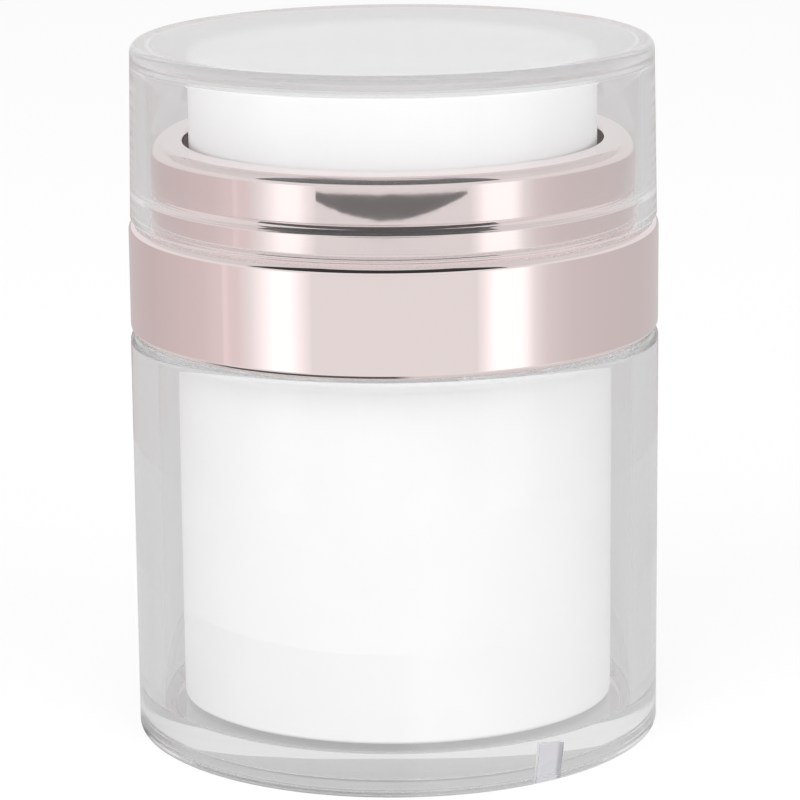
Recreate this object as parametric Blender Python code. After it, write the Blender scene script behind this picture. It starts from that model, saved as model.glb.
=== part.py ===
"""Airless pump cream jar, 50 ml class, about 62 mm across and 82 mm tall.

A white inner cup with a follower piston sits in a clear outer jar. A metallised collar screws a pump
onto the cup's neck, a wide press head works the pump, and a clear overcap pushes onto the collar.
Every size below is in millimetres, and MM turns it to Blender's metres. The origin is the centre of
the jar's foot, and +Z is up. -Y is the front.
"""

from math import cos, hypot, pi, radians, sin, sqrt, tau

import bmesh
import bpy
from mathutils import Matrix, Vector

MM = 0.001

# Clearances between pieces
SEAT_GAP = 0.3
SIDE_GAP = 0.35
THREAD_GAP = 0.4
PRESS_HEAD_GAP = 0.7
SNAP_GAP = 0.15

# Facets round a turned piece
WIDE_SEGMENTS = 48
NARROW_SEGMENTS = 24

# Outer jar
JAR_RADIUS = 31.0
JAR_WALL = 3.0
JAR_HEIGHT = 48.0
JAR_BASE = 4.6
JAR_SHOULDER_ROUND = 1.0
FOOT_WIDTH = 4.0
FOOT_ROUND = 0.6
RECESS_DEPTH = 1.4
NOTCH_WIDTH = 3.4
NOTCH_HEIGHT = 4.4
NOTCH_DEPTH = 1.0
NOTCH_SKIN = 1.4
NOTCH_ANGLE = 35.0
NOTCH_LEAN = 8.0

# Inner cup
CUP_AIR_GAP = 2.5
CUP_WALL = 1.3
CUP_FLOOR = 1.3
CUP_BOTTOM_ROUND = 0.5
CUP_VENT_RADIUS = 1.5
FLANGE_THICKNESS = 1.5
LOCATING_RING_HEIGHT = 1.5
NECK_HEIGHT = 6.8

# Screw thread between the cup's neck and the pump carrier
THREAD_PITCH = 3.0
THREAD_DEPTH = 1.4
THREAD_TURNS = 1.25
THREAD_ROOT_HEIGHT = 1.5
THREAD_CREST_HEIGHT = 0.9
THREAD_START = 1.4
THREAD_SINK = 0.4
THREAD_FADE_STEPS = 4

# Follower piston
FOLLOWER_HEIGHT = 12.0
FOLLOWER_WALL = 1.2
FOLLOWER_LIP_HEIGHT = 1.4
FOLLOWER_LIP = 0.9
WELL_DEPTH = 8.0
WELL_GAP = 1.3

# Collar
COLLAR_STEP = 0.05
COLLAR_WALL = 1.2
COLLAR_TOP_WIDTH = 3.8
COLLAR_NECK_HEIGHT = 9.7
COLLAR_EDGE = 0.3
COLLAR_GUIDE_LENGTH = 7.3
SNAP_HEIGHT = 3.75
SNAP_WIDTH = 1.1
SNAP_DEPTH = 0.5

# Pump carrier and its gasket
CARRIER_PLATE = 1.4
GASKET_THICKNESS = 1.0

# Press head
HEAD_HEIGHT = 13.2
HEAD_WALL = 1.4
HEAD_EDGE = 0.8
HEAD_STROKE = 5.5
HEAD_FLOOR_GAP = 0.9
DISH_DEPTH = 0.8
DISH_RIM = 2.2
ORIFICE_RADIUS = 1.5
SOCKET_LENGTH = 6.0
SOCKET_WALL = 1.3
OUTLET_SPACE = 2.8

# Pump
CHAMBER_RADIUS = 6.0
CHAMBER_WALL = 1.2
CHAMBER_FLANGE_WIDTH = 2.8
CHAMBER_FLANGE = 1.2
CHAMBER_GASKET = 0.8
CHAMBER_FLOOR = 1.2
CHAMBER_CAP = 1.2
CHAMBER_CAP_SLEEVE = 5.1
CHAMBER_CAP_SKIRT = 1.0
STEM_RADIUS = 3.2
STEM_WALL = 1.6
STEM_FLANGE_GAP = 1.6
STEM_FLANGE = 0.8
SEAL_HEIGHT = 3.7
SEAL_LIP = 0.5
SEAL_LIP_HEIGHT = 1.0
BALL_RADIUS = 2.2
BALL_LIFT = 0.8
BALL_SEAT_WIDTH = 0.6
BALL_SIDE_GAP = 0.7
CAGE_NUBS = 4
CAGE_NUB_WIDTH = 1.0
CAGE_NUB_HEIGHT = 0.8
CAGE_NUB_REACH = 1.0
VALVE_INSET = 0.6
VALVE_THICKNESS = 0.8
VALVE_PIN_GAP = 0.7
VALVE_PIN_LENGTH = 2.5

# Return spring
SPRING_WIRE = 1.0
SPRING_SIDE_GAP = 1.2
SPRING_TURNS = 6
SPRING_POINTS = 10

# Overcap
CAP_STEP = 0.25
CAP_DRAFT = 0.4
CAP_WALL = 2.0
CAP_CEILING = 1.8
CAP_HEAD_GAP = 1.0
CAP_FIT = 0.45
CAP_RIM_ROUND = 0.4
CAP_TOP_ROUND = 1.0
CAP_INNER_ROUND = 0.8

# Radii that the pieces share, worked in from the jar's wall
BAND_RADIUS = JAR_RADIUS - COLLAR_STEP
BAND_BORE = BAND_RADIUS - COLLAR_WALL
CAP_BOTTOM_RADIUS = JAR_RADIUS - CAP_STEP
CAP_TOP_RADIUS = CAP_BOTTOM_RADIUS - CAP_DRAFT
CAP_BORE = CAP_BOTTOM_RADIUS - CAP_WALL
COLLAR_NECK_RADIUS = CAP_BORE - CAP_FIT
GUIDE_BORE = COLLAR_NECK_RADIUS - COLLAR_TOP_WIDTH
HEAD_RADIUS = GUIDE_BORE - PRESS_HEAD_GAP
CUP_RADIUS = JAR_RADIUS - JAR_WALL - CUP_AIR_GAP
CUP_BORE = CUP_RADIUS - CUP_WALL
THREAD_CREST = CUP_RADIUS + THREAD_DEPTH
CARRIER_BORE = THREAD_CREST + THREAD_GAP
CARRIER_RADIUS = BAND_BORE - SIDE_GAP

# Radii inside the pump, worked from its chamber, stem and ball
CHAMBER_OUTSIDE = CHAMBER_RADIUS + CHAMBER_WALL
CHAMBER_FLANGE_RADIUS = CHAMBER_OUTSIDE + CHAMBER_FLANGE_WIDTH
STEM_BORE = STEM_RADIUS - STEM_WALL
STEM_FLANGE_RADIUS = CHAMBER_RADIUS - STEM_FLANGE_GAP
SOCKET_BORE = STEM_RADIUS + SEAT_GAP
SOCKET_OUTSIDE = SOCKET_BORE + SOCKET_WALL
SPRING_RADIUS = SOCKET_OUTSIDE + SPRING_SIDE_GAP + SPRING_WIRE / 2
VALVE_RADIUS = STEM_RADIUS - VALVE_INSET
VALVE_PIN_RADIUS = STEM_BORE - VALVE_PIN_GAP
BALL_PORT_RADIUS = BALL_RADIUS - BALL_SEAT_WIDTH
POCKET_RADIUS = BALL_RADIUS + BALL_SIDE_GAP

# Heights that the pieces share, worked up from the foot
CUP_BOTTOM = JAR_BASE + SEAT_GAP
CUP_INSIDE = CUP_BOTTOM + CUP_FLOOR
FLANGE_BOTTOM = JAR_HEIGHT + SEAT_GAP
FLANGE_TOP = FLANGE_BOTTOM + FLANGE_THICKNESS
NECK_TOP = FLANGE_TOP + NECK_HEIGHT
GASKET_BOTTOM = NECK_TOP + SEAT_GAP
PLATE_BOTTOM = GASKET_BOTTOM + GASKET_THICKNESS + SEAT_GAP
PLATE_TOP = PLATE_BOTTOM + CARRIER_PLATE
SHOULDER_TOP = PLATE_TOP + SEAT_GAP + COLLAR_WALL
COLLAR_TOP = SHOULDER_TOP + COLLAR_NECK_HEIGHT
SNAP_LEVEL = SHOULDER_TOP + SNAP_HEIGHT
HEAD_BOTTOM = PLATE_TOP + HEAD_STROKE + HEAD_FLOOR_GAP
HEAD_TOP = HEAD_BOTTOM + HEAD_HEIGHT
HEAD_UNDERSIDE = HEAD_TOP - DISH_DEPTH - HEAD_WALL
CHAMBER_GASKET_BOTTOM = PLATE_TOP + SEAT_GAP
CHAMBER_FLANGE_BOTTOM = CHAMBER_GASKET_BOTTOM + CHAMBER_GASKET + SEAT_GAP
CHAMBER_TOP = CHAMBER_FLANGE_BOTTOM + CHAMBER_FLANGE
CHAMBER_CAP_BOTTOM = CHAMBER_TOP + SEAT_GAP
CHAMBER_CAP_TOP = CHAMBER_CAP_BOTTOM + CHAMBER_CAP
SLEEVE_BOTTOM = CHAMBER_CAP_BOTTOM - CHAMBER_CAP_SLEEVE
STEM_COLLAR_BOTTOM = SLEEVE_BOTTOM - SEAT_GAP - STEM_FLANGE
SEAL_BOTTOM = STEM_COLLAR_BOTTOM - SEAT_GAP - SEAL_HEIGHT
STEM_BOTTOM = SEAL_BOTTOM - SEAT_GAP - STEM_FLANGE
STEM_TOP = HEAD_UNDERSIDE - OUTLET_SPACE
BORE_BOTTOM = STEM_BOTTOM - HEAD_STROKE - SEAT_GAP
BALL_REST = sqrt(BALL_RADIUS**2 - BALL_PORT_RADIUS**2) + SEAT_GAP
POCKET_DEPTH = BALL_REST + BALL_RADIUS + BALL_LIFT + SNAP_GAP + CAGE_NUB_HEIGHT
POCKET_BOTTOM = BORE_BOTTOM - POCKET_DEPTH
CHAMBER_BOTTOM = POCKET_BOTTOM - CHAMBER_FLOOR
CAP_BOTTOM = SHOULDER_TOP + SEAT_GAP
CAP_TOP = HEAD_TOP + CAP_HEAD_GAP + CAP_CEILING


def plastic(name, colour, roughness, metallic=0.0, clear=0.0):
    """A Principled material; clear is its share of transmitted light."""
    material = bpy.data.materials.new(name)
    material.use_nodes = True
    shader = material.node_tree.nodes["Principled BSDF"]
    shader.inputs["Base Color"].default_value = (*colour, 1.0)
    shader.inputs["Roughness"].default_value = roughness
    shader.inputs["Metallic"].default_value = metallic
    shader.inputs["Transmission Weight"].default_value = clear
    shader.inputs["IOR"].default_value = 1.49
    return material


def finish(piece, material):
    """Gives a piece its material and its smooth shading."""
    piece.data.materials.append(material)
    piece.data.shade_smooth()
    piece.data.set_sharp_from_angle(angle=radians(32.0))
    return piece


def group(name, height, parent=None):
    """An empty on the jar's axis that carries the pieces that move together."""
    empty = bpy.data.objects.new(name, None)
    bpy.context.scene.collection.objects.link(empty)
    empty.parent = parent
    below = parent.matrix_world.translation.z if parent else 0.0
    empty.location = (0.0, 0.0, height * MM - below)
    bpy.context.view_layer.update()
    return empty


def place(name, mesh, seat, carrier):
    """A mesh object on the jar's axis, with its origin at the height of its seat."""
    piece = bpy.data.objects.new(name, mesh)
    bpy.context.scene.collection.objects.link(piece)
    piece.parent = carrier
    piece.location = (0.0, 0.0, seat * MM - carrier.matrix_world.translation.z)
    return piece


def corner(radius, height, size, start, steps=2):
    """Points of a quarter-round corner about (radius, height), from the start angle, turning left."""
    angles = [radians(start + 90.0 * i / steps) for i in range(steps + 1)]
    return [(radius + size * cos(a), height + size * sin(a)) for a in angles]


def turned(name, outline, seat, carrier, material, segments=WIDE_SEGMENTS):
    """Spins a closed outline of (radius, height) points about the axis; it runs with the solid on its left."""
    bm = bmesh.new()
    verts = [bm.verts.new((r * MM, 0.0, (z - seat) * MM)) for r, z in outline]
    edges = [bm.edges.new((verts[i - 1], verts[i])) for i in range(len(verts))]
    bmesh.ops.spin(
        bm,
        geom=verts + edges,
        cent=(0.0, 0.0, 0.0),
        axis=(0.0, 0.0, 1.0),
        angle=tau,
        steps=segments,
        use_merge=True,
    )
    bmesh.ops.remove_doubles(bm, verts=bm.verts, dist=1e-6)
    bmesh.ops.recalc_face_normals(bm, faces=bm.faces)
    mesh = bpy.data.meshes.new(name)
    bm.to_mesh(mesh)
    bm.free()
    return finish(place(name, mesh, seat, carrier), material)


def thread_ridge(name, root, crest, start_height, start_turn, seat, carrier):
    """One helical ridge, for a Boolean union. It sinks THREAD_SINK into the wall at its root."""
    steps = round(THREAD_TURNS * WIDE_SEGMENTS)
    inward = root - (THREAD_SINK if crest > root else -THREAD_SINK)
    bm = bmesh.new()
    rings = []
    for i in range(steps + 1):
        angle = tau * (start_turn + THREAD_TURNS * i / steps)
        height = start_height + THREAD_PITCH * THREAD_TURNS * i / steps - seat
        fade = min(1.0, (i + 1) / THREAD_FADE_STEPS, (steps + 1 - i) / THREAD_FADE_STEPS)
        top = root + (crest - root) * fade
        section = [
            (inward, height - THREAD_ROOT_HEIGHT / 2),
            (top, height - THREAD_CREST_HEIGHT / 2),
            (top, height + THREAD_CREST_HEIGHT / 2),
            (inward, height + THREAD_ROOT_HEIGHT / 2),
        ]
        rings.append([bm.verts.new((r * cos(angle) * MM, r * sin(angle) * MM, z * MM)) for r, z in section])
    for low, high in zip(rings, rings[1:]):
        for i in range(len(low)):
            bm.faces.new((low[i - 1], low[i], high[i], high[i - 1]))
    bm.faces.new(rings[0])
    bm.faces.new(rings[-1])
    bmesh.ops.recalc_face_normals(bm, faces=bm.faces)
    mesh = bpy.data.meshes.new(name)
    bm.to_mesh(mesh)
    bm.free()
    return place(name, mesh, seat, carrier)


def block(name, low, high, turn, carrier, lean=0.0):
    """A box between two corners, leaning to one side and turned about the jar's axis, for a Boolean."""
    size = Vector(high) - Vector(low)
    centre = (Vector(high) + Vector(low)) / 2
    bm = bmesh.new()
    bmesh.ops.create_cube(bm, size=1.0)
    bmesh.ops.scale(bm, vec=size * MM, verts=bm.verts)
    bmesh.ops.translate(bm, vec=centre * MM, verts=bm.verts)
    bmesh.ops.rotate(bm, cent=centre * MM, matrix=Matrix.Rotation(lean, 3, "Y"), verts=bm.verts)
    bmesh.ops.rotate(bm, cent=(0, 0, 0), matrix=Matrix.Rotation(turn, 3, "Z"), verts=bm.verts)
    mesh = bpy.data.meshes.new(name)
    bm.to_mesh(mesh)
    bm.free()
    return place(name, mesh, 0.0, carrier)


def combine(piece, tool, operation):
    """Joins a tool to a piece, or cuts it out, and hides the tool."""
    change = piece.modifiers.new(tool.name, "BOOLEAN")
    change.operation = operation
    change.solver = "EXACT"
    change.object = tool
    tool.hide_render = True
    tool.display_type = "WIRE"


def outer_jar(carrier, material):
    """Clear jar: thick wall and base, a shallow recess inside its foot, and a leaning notch in the foot."""
    bore = JAR_RADIUS - JAR_WALL
    recess = JAR_RADIUS - FOOT_WIDTH
    shoulder = JAR_RADIUS - JAR_SHOULDER_ROUND
    outline = [
        (0.0, RECESS_DEPTH),
        (recess, RECESS_DEPTH),
        (recess, 0.0),
        *corner(JAR_RADIUS - FOOT_ROUND, FOOT_ROUND, FOOT_ROUND, -90.0),
        *corner(shoulder, JAR_HEIGHT - JAR_SHOULDER_ROUND, JAR_SHOULDER_ROUND, 0.0, steps=3),
        (bore, JAR_HEIGHT),
        (bore, JAR_BASE),
        (0.0, JAR_BASE),
    ]
    jar = turned("outer_jar", outline, 0.0, carrier, material)
    notch_outside = JAR_RADIUS - NOTCH_SKIN
    notch = block(
        "notch_cutter",
        (-NOTCH_WIDTH / 2, -notch_outside, -1.0),
        (NOTCH_WIDTH / 2, NOTCH_DEPTH - notch_outside, NOTCH_HEIGHT),
        radians(NOTCH_ANGLE),
        carrier,
        radians(NOTCH_LEAN),
    )
    combine(jar, notch, "DIFFERENCE")
    return jar


def inner_cup(carrier, material):
    """White cup with a flange that rests on the jar's rim and a threaded neck above it."""
    flange = CARRIER_RADIUS
    locating = JAR_RADIUS - JAR_WALL - SEAT_GAP
    outline = [
        (CUP_VENT_RADIUS, CUP_BOTTOM),
        *corner(CUP_RADIUS - CUP_BOTTOM_ROUND, CUP_BOTTOM + CUP_BOTTOM_ROUND, CUP_BOTTOM_ROUND, -90.0),
        (CUP_RADIUS, FLANGE_BOTTOM - LOCATING_RING_HEIGHT),
        (locating, FLANGE_BOTTOM - LOCATING_RING_HEIGHT),
        (locating, FLANGE_BOTTOM),
        (flange, FLANGE_BOTTOM),
        (flange, FLANGE_TOP),
        (CUP_RADIUS, FLANGE_TOP),
        (CUP_RADIUS, NECK_TOP),
        (CUP_BORE, NECK_TOP),
        (CUP_BORE, CUP_INSIDE),
        (CUP_VENT_RADIUS, CUP_INSIDE),
    ]
    cup = turned("inner_cup", outline, CUP_BOTTOM, carrier, material)
    start = FLANGE_TOP + THREAD_START
    ridge = thread_ridge("neck_thread", CUP_RADIUS, THREAD_CREST, start, 0.0, CUP_BOTTOM, carrier)
    combine(cup, ridge, "UNION")
    return cup


def follower_piston(carrier, material):
    """Piston with two wiper lips and a central well that clears the pump chamber at the top of its travel."""
    low = CUP_INSIDE + SEAT_GAP
    top = low + FOLLOWER_HEIGHT
    lip = CUP_BORE - SEAT_GAP
    skirt = lip - FOLLOWER_LIP
    well = CHAMBER_OUTSIDE + WELL_GAP
    outline = [
        (skirt - FOLLOWER_WALL, low),
        (lip, low),
        (lip, low + FOLLOWER_LIP_HEIGHT / 2),
        (skirt, low + FOLLOWER_LIP_HEIGHT),
        (skirt, top - FOLLOWER_LIP_HEIGHT),
        (lip, top - FOLLOWER_LIP_HEIGHT / 2),
        (lip, top),
        (well, top),
        (well, top - WELL_DEPTH),
        (0.0, top - WELL_DEPTH),
        (0.0, top - WELL_DEPTH - FOLLOWER_WALL),
        (well + FOLLOWER_WALL, top - WELL_DEPTH - FOLLOWER_WALL),
        (well + FOLLOWER_WALL, top - FOLLOWER_WALL),
        (skirt - FOLLOWER_WALL, top - FOLLOWER_WALL),
    ]
    return turned("follower_piston", outline, low, carrier, material)


def sealing_gasket(carrier, material):
    """Flat ring between the neck's rim and the carrier's plate."""
    top = GASKET_BOTTOM + GASKET_THICKNESS
    outer = THREAD_CREST
    outline = [(CUP_BORE, GASKET_BOTTOM), (outer, GASKET_BOTTOM), (outer, top), (CUP_BORE, top)]
    return turned("sealing_gasket", outline, GASKET_BOTTOM, carrier, material)


def pump_carrier(carrier, material):
    """Threaded ring and plate: it screws onto the cup's neck, and holds the pump and the collar."""
    skirt_bottom = FLANGE_TOP + SEAT_GAP
    hole = CHAMBER_OUTSIDE + SEAT_GAP
    outline = [
        (CARRIER_BORE, skirt_bottom),
        (CARRIER_RADIUS, skirt_bottom),
        (CARRIER_RADIUS, PLATE_TOP),
        (hole, PLATE_TOP),
        (hole, PLATE_BOTTOM),
        (CARRIER_BORE, PLATE_BOTTOM),
    ]
    plate = turned("pump_carrier", outline, PLATE_BOTTOM, carrier, material)
    crest = CARRIER_BORE - THREAD_DEPTH
    start = FLANGE_TOP + THREAD_START
    ridge = thread_ridge("carrier_thread", CARRIER_BORE, crest, start, -0.5, PLATE_BOTTOM, carrier)
    combine(plate, ridge, "UNION")
    return plate


def collar_shell(carrier, material):
    """Metallised shell: a band over the carrier, and a neck that guides the head and holds the cap."""
    neck_bore = COLLAR_NECK_RADIUS - COLLAR_WALL
    guide = GUIDE_BORE + COLLAR_WALL
    guide_bottom = COLLAR_TOP - COLLAR_GUIDE_LENGTH
    band_bottom = JAR_HEIGHT + SEAT_GAP
    shoulder_bottom = SHOULDER_TOP - COLLAR_WALL
    top_bottom = COLLAR_TOP - COLLAR_WALL
    groove = COLLAR_NECK_RADIUS - SNAP_DEPTH
    outline = [
        (BAND_BORE, band_bottom),
        (BAND_RADIUS - COLLAR_EDGE, band_bottom),
        (BAND_RADIUS, band_bottom + COLLAR_EDGE),
        (BAND_RADIUS, SHOULDER_TOP - COLLAR_EDGE),
        (BAND_RADIUS - COLLAR_EDGE, SHOULDER_TOP),
        (COLLAR_NECK_RADIUS, SHOULDER_TOP),
        (COLLAR_NECK_RADIUS, SNAP_LEVEL - SNAP_WIDTH / 2),
        (groove, SNAP_LEVEL),
        (COLLAR_NECK_RADIUS, SNAP_LEVEL + SNAP_WIDTH / 2),
        (COLLAR_NECK_RADIUS, COLLAR_TOP - COLLAR_EDGE),
        (COLLAR_NECK_RADIUS - COLLAR_EDGE, COLLAR_TOP),
        (GUIDE_BORE + COLLAR_EDGE, COLLAR_TOP),
        (GUIDE_BORE, COLLAR_TOP - COLLAR_EDGE),
        (GUIDE_BORE, guide_bottom),
        (guide, guide_bottom),
        (guide, top_bottom),
        (neck_bore, top_bottom),
        (neck_bore, shoulder_bottom),
        (BAND_BORE, shoulder_bottom),
    ]
    return turned("collar_shell", outline, band_bottom, carrier, material)


def chamber_gasket(carrier, material):
    """Ring under the chamber's flange, on the carrier's plate."""
    bore = CHAMBER_OUTSIDE + SEAT_GAP
    bottom = CHAMBER_GASKET_BOTTOM
    top = bottom + CHAMBER_GASKET
    outer = CHAMBER_FLANGE_RADIUS - SEAT_GAP
    outline = [(bore, bottom), (outer, bottom), (outer, top), (bore, top)]
    return turned("chamber_gasket", outline, bottom, carrier, material, NARROW_SEGMENTS)


def pump_chamber(carrier, material):
    """Pump cylinder hung by its flange, with a ball pocket, cage nubs and the inlet port at its foot."""
    pocket_outside = POCKET_RADIUS + CHAMBER_WALL
    outline = [
        (BALL_PORT_RADIUS, CHAMBER_BOTTOM),
        (pocket_outside, CHAMBER_BOTTOM),
        (pocket_outside, BORE_BOTTOM - CHAMBER_WALL),
        (CHAMBER_OUTSIDE, BORE_BOTTOM - CHAMBER_WALL),
        (CHAMBER_OUTSIDE, CHAMBER_FLANGE_BOTTOM),
        (CHAMBER_FLANGE_RADIUS, CHAMBER_FLANGE_BOTTOM),
        (CHAMBER_FLANGE_RADIUS, CHAMBER_TOP),
        (CHAMBER_RADIUS, CHAMBER_TOP),
        (CHAMBER_RADIUS, BORE_BOTTOM),
        (POCKET_RADIUS, BORE_BOTTOM),
        (POCKET_RADIUS, POCKET_BOTTOM),
        (BALL_PORT_RADIUS, POCKET_BOTTOM),
    ]
    chamber = turned("pump_chamber", outline, CHAMBER_FLANGE_BOTTOM, carrier, material, NARROW_SEGMENTS)
    nub_top = BORE_BOTTOM - SNAP_GAP
    reach = POCKET_RADIUS - CAGE_NUB_REACH
    for i in range(CAGE_NUBS):
        nub = block(
            f"cage_nub_{i}",
            (reach, -CAGE_NUB_WIDTH / 2, nub_top - CAGE_NUB_HEIGHT),
            (POCKET_RADIUS + CHAMBER_WALL / 2, CAGE_NUB_WIDTH / 2, nub_top),
            tau * i / CAGE_NUBS,
            carrier,
        )
        combine(chamber, nub, "UNION")
    return chamber


def chamber_cap(carrier, material):
    """Cap on the chamber's flange: its sleeve guides the stem and stops the piston at the top."""
    bore = STEM_RADIUS + SEAT_GAP
    sleeve = CHAMBER_RADIUS - SEAT_GAP
    inside = CHAMBER_FLANGE_RADIUS + SEAT_GAP
    outside = inside + CHAMBER_CAP_SKIRT
    outline = [
        (bore, SLEEVE_BOTTOM),
        (sleeve, SLEEVE_BOTTOM),
        (sleeve, CHAMBER_CAP_BOTTOM),
        (inside, CHAMBER_CAP_BOTTOM),
        (inside, CHAMBER_FLANGE_BOTTOM),
        (outside, CHAMBER_FLANGE_BOTTOM),
        (outside, CHAMBER_CAP_TOP),
        (bore, CHAMBER_CAP_TOP),
    ]
    return turned("chamber_cap", outline, CHAMBER_CAP_BOTTOM, carrier, material, NARROW_SEGMENTS)


def inlet_ball(carrier, material):
    """Check ball, resting over the inlet port."""
    bm = bmesh.new()
    bmesh.ops.create_icosphere(bm, subdivisions=2, radius=BALL_RADIUS * MM)
    mesh = bpy.data.meshes.new("inlet_ball")
    bm.to_mesh(mesh)
    bm.free()
    return finish(place("inlet_ball", mesh, POCKET_BOTTOM + BALL_REST, carrier), material)


def press_head(carrier, material):
    """Press head: a drum with a dished top, a central orifice and a socket for the stem."""
    bore = HEAD_RADIUS - HEAD_WALL
    dish = HEAD_RADIUS - DISH_RIM
    dish_floor = HEAD_TOP - DISH_DEPTH
    outline = [
        (bore, HEAD_BOTTOM),
        (HEAD_RADIUS, HEAD_BOTTOM),
        *corner(HEAD_RADIUS - HEAD_EDGE, HEAD_TOP - HEAD_EDGE, HEAD_EDGE, 0.0, steps=3),
        (dish, HEAD_TOP),
        (dish - 2 * DISH_DEPTH, dish_floor),
        (ORIFICE_RADIUS, dish_floor),
        (ORIFICE_RADIUS, HEAD_UNDERSIDE),
        (SOCKET_BORE, HEAD_UNDERSIDE),
        (SOCKET_BORE, HEAD_UNDERSIDE - SOCKET_LENGTH),
        (SOCKET_OUTSIDE, HEAD_UNDERSIDE - SOCKET_LENGTH),
        (SOCKET_OUTSIDE, HEAD_UNDERSIDE),
        (bore, HEAD_UNDERSIDE),
    ]
    return turned("press_head", outline, HEAD_BOTTOM, carrier, material)


def outlet_valve(carrier, material):
    """Poppet on the stem's rim, with a pin that stays in the stem's bore."""
    bottom = STEM_TOP + SEAT_GAP
    outline = [
        (0.0, bottom - VALVE_PIN_LENGTH),
        (VALVE_PIN_RADIUS, bottom - VALVE_PIN_LENGTH),
        (VALVE_PIN_RADIUS, bottom),
        (VALVE_RADIUS, bottom),
        (VALVE_RADIUS, bottom + VALVE_THICKNESS),
        (0.0, bottom + VALVE_THICKNESS),
    ]
    return turned("outlet_valve", outline, bottom, carrier, material, NARROW_SEGMENTS)


def stem(carrier, material):
    """Hollow stem with a flange and a collar that hold the piston seal between them."""
    collar_top = STEM_COLLAR_BOTTOM + STEM_FLANGE
    flange_top = STEM_BOTTOM + STEM_FLANGE
    outline = [
        (STEM_BORE, STEM_BOTTOM),
        (STEM_FLANGE_RADIUS, STEM_BOTTOM),
        (STEM_FLANGE_RADIUS, flange_top),
        (STEM_RADIUS, flange_top),
        (STEM_RADIUS, STEM_COLLAR_BOTTOM),
        (STEM_FLANGE_RADIUS, STEM_COLLAR_BOTTOM),
        (STEM_FLANGE_RADIUS, collar_top),
        (STEM_RADIUS, collar_top),
        (STEM_RADIUS, STEM_TOP),
        (STEM_BORE, STEM_TOP),
    ]
    return turned("stem", outline, STEM_BOTTOM, carrier, material, NARROW_SEGMENTS)


def piston_seal(carrier, material):
    """Soft piston with a lip at each end, between the stem's flange and collar."""
    bore = STEM_RADIUS + SEAT_GAP
    lip = CHAMBER_RADIUS - SEAT_GAP
    waist = lip - SEAL_LIP
    top = SEAL_BOTTOM + SEAL_HEIGHT
    outline = [
        (bore, SEAL_BOTTOM),
        (lip, SEAL_BOTTOM),
        (waist, SEAL_BOTTOM + SEAL_LIP_HEIGHT),
        (waist, top - SEAL_LIP_HEIGHT),
        (lip, top),
        (bore, top),
    ]
    return turned("piston_seal", outline, SEAL_BOTTOM, carrier, material, NARROW_SEGMENTS)


def return_spring(carrier, material):
    """Compression spring between the chamber's cap and the head: one helical wire."""
    low = CHAMBER_CAP_TOP + SEAT_GAP + SPRING_WIRE / 2
    high = HEAD_UNDERSIDE - SEAT_GAP - SPRING_WIRE / 2
    count = SPRING_TURNS * SPRING_POINTS + 1
    points = []
    for i in range(count):
        angle = tau * i / SPRING_POINTS
        height = low + (high - low) * i / (count - 1)
        points.append(Vector((SPRING_RADIUS * cos(angle), SPRING_RADIUS * sin(angle), height)))
    curve = bpy.data.curves.new("return_spring", "CURVE")
    curve.dimensions = "3D"
    curve.bevel_depth = SPRING_WIRE / 2 * MM
    curve.bevel_resolution = 1
    curve.use_fill_caps = True
    spline = curve.splines.new("POLY")
    spline.points.add(count - 1)
    for point, at in zip(spline.points, points):
        point.co = (at.x * MM, at.y * MM, (at.z - CHAMBER_CAP_TOP) * MM, 1.0)
    apart = SPRING_POINTS // 2
    pairs = [(a, b) for i, a in enumerate(points) for b in points[i + apart:]]
    least = min((a - b).length for a, b in pairs) - SPRING_WIRE
    print(f"least gap between the spring's turns: {least:.2f} mm")
    spring = place("return_spring", curve, CHAMBER_CAP_TOP, carrier)
    curve.materials.append(material)
    return spring


def overcap(carrier, material):
    """Clear cap with a flat top, which clicks onto the collar's neck with the bead in its bore."""
    bead = COLLAR_NECK_RADIUS + SNAP_GAP
    inner_top = CAP_TOP - CAP_CEILING
    lean = CAP_DRAFT / (CAP_TOP - CAP_BOTTOM)
    outer_high = CAP_TOP_RADIUS + lean * CAP_TOP_ROUND
    outline = [
        (0.0, inner_top),
        (CAP_BORE - CAP_INNER_ROUND, inner_top),
        (CAP_BORE, inner_top - CAP_INNER_ROUND),
        (CAP_BORE, SNAP_LEVEL + SNAP_WIDTH / 2),
        (bead, SNAP_LEVEL),
        (CAP_BORE, SNAP_LEVEL - SNAP_WIDTH / 2),
        (CAP_BORE, CAP_BOTTOM),
        (CAP_BOTTOM_RADIUS - CAP_RIM_ROUND, CAP_BOTTOM),
        (CAP_BOTTOM_RADIUS, CAP_BOTTOM + CAP_RIM_ROUND),
        *corner(outer_high - CAP_TOP_ROUND, CAP_TOP - CAP_TOP_ROUND, CAP_TOP_ROUND, 0.0, steps=3),
        (0.0, CAP_TOP),
    ]
    return turned("overcap", outline, CAP_BOTTOM, carrier, material)


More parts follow.
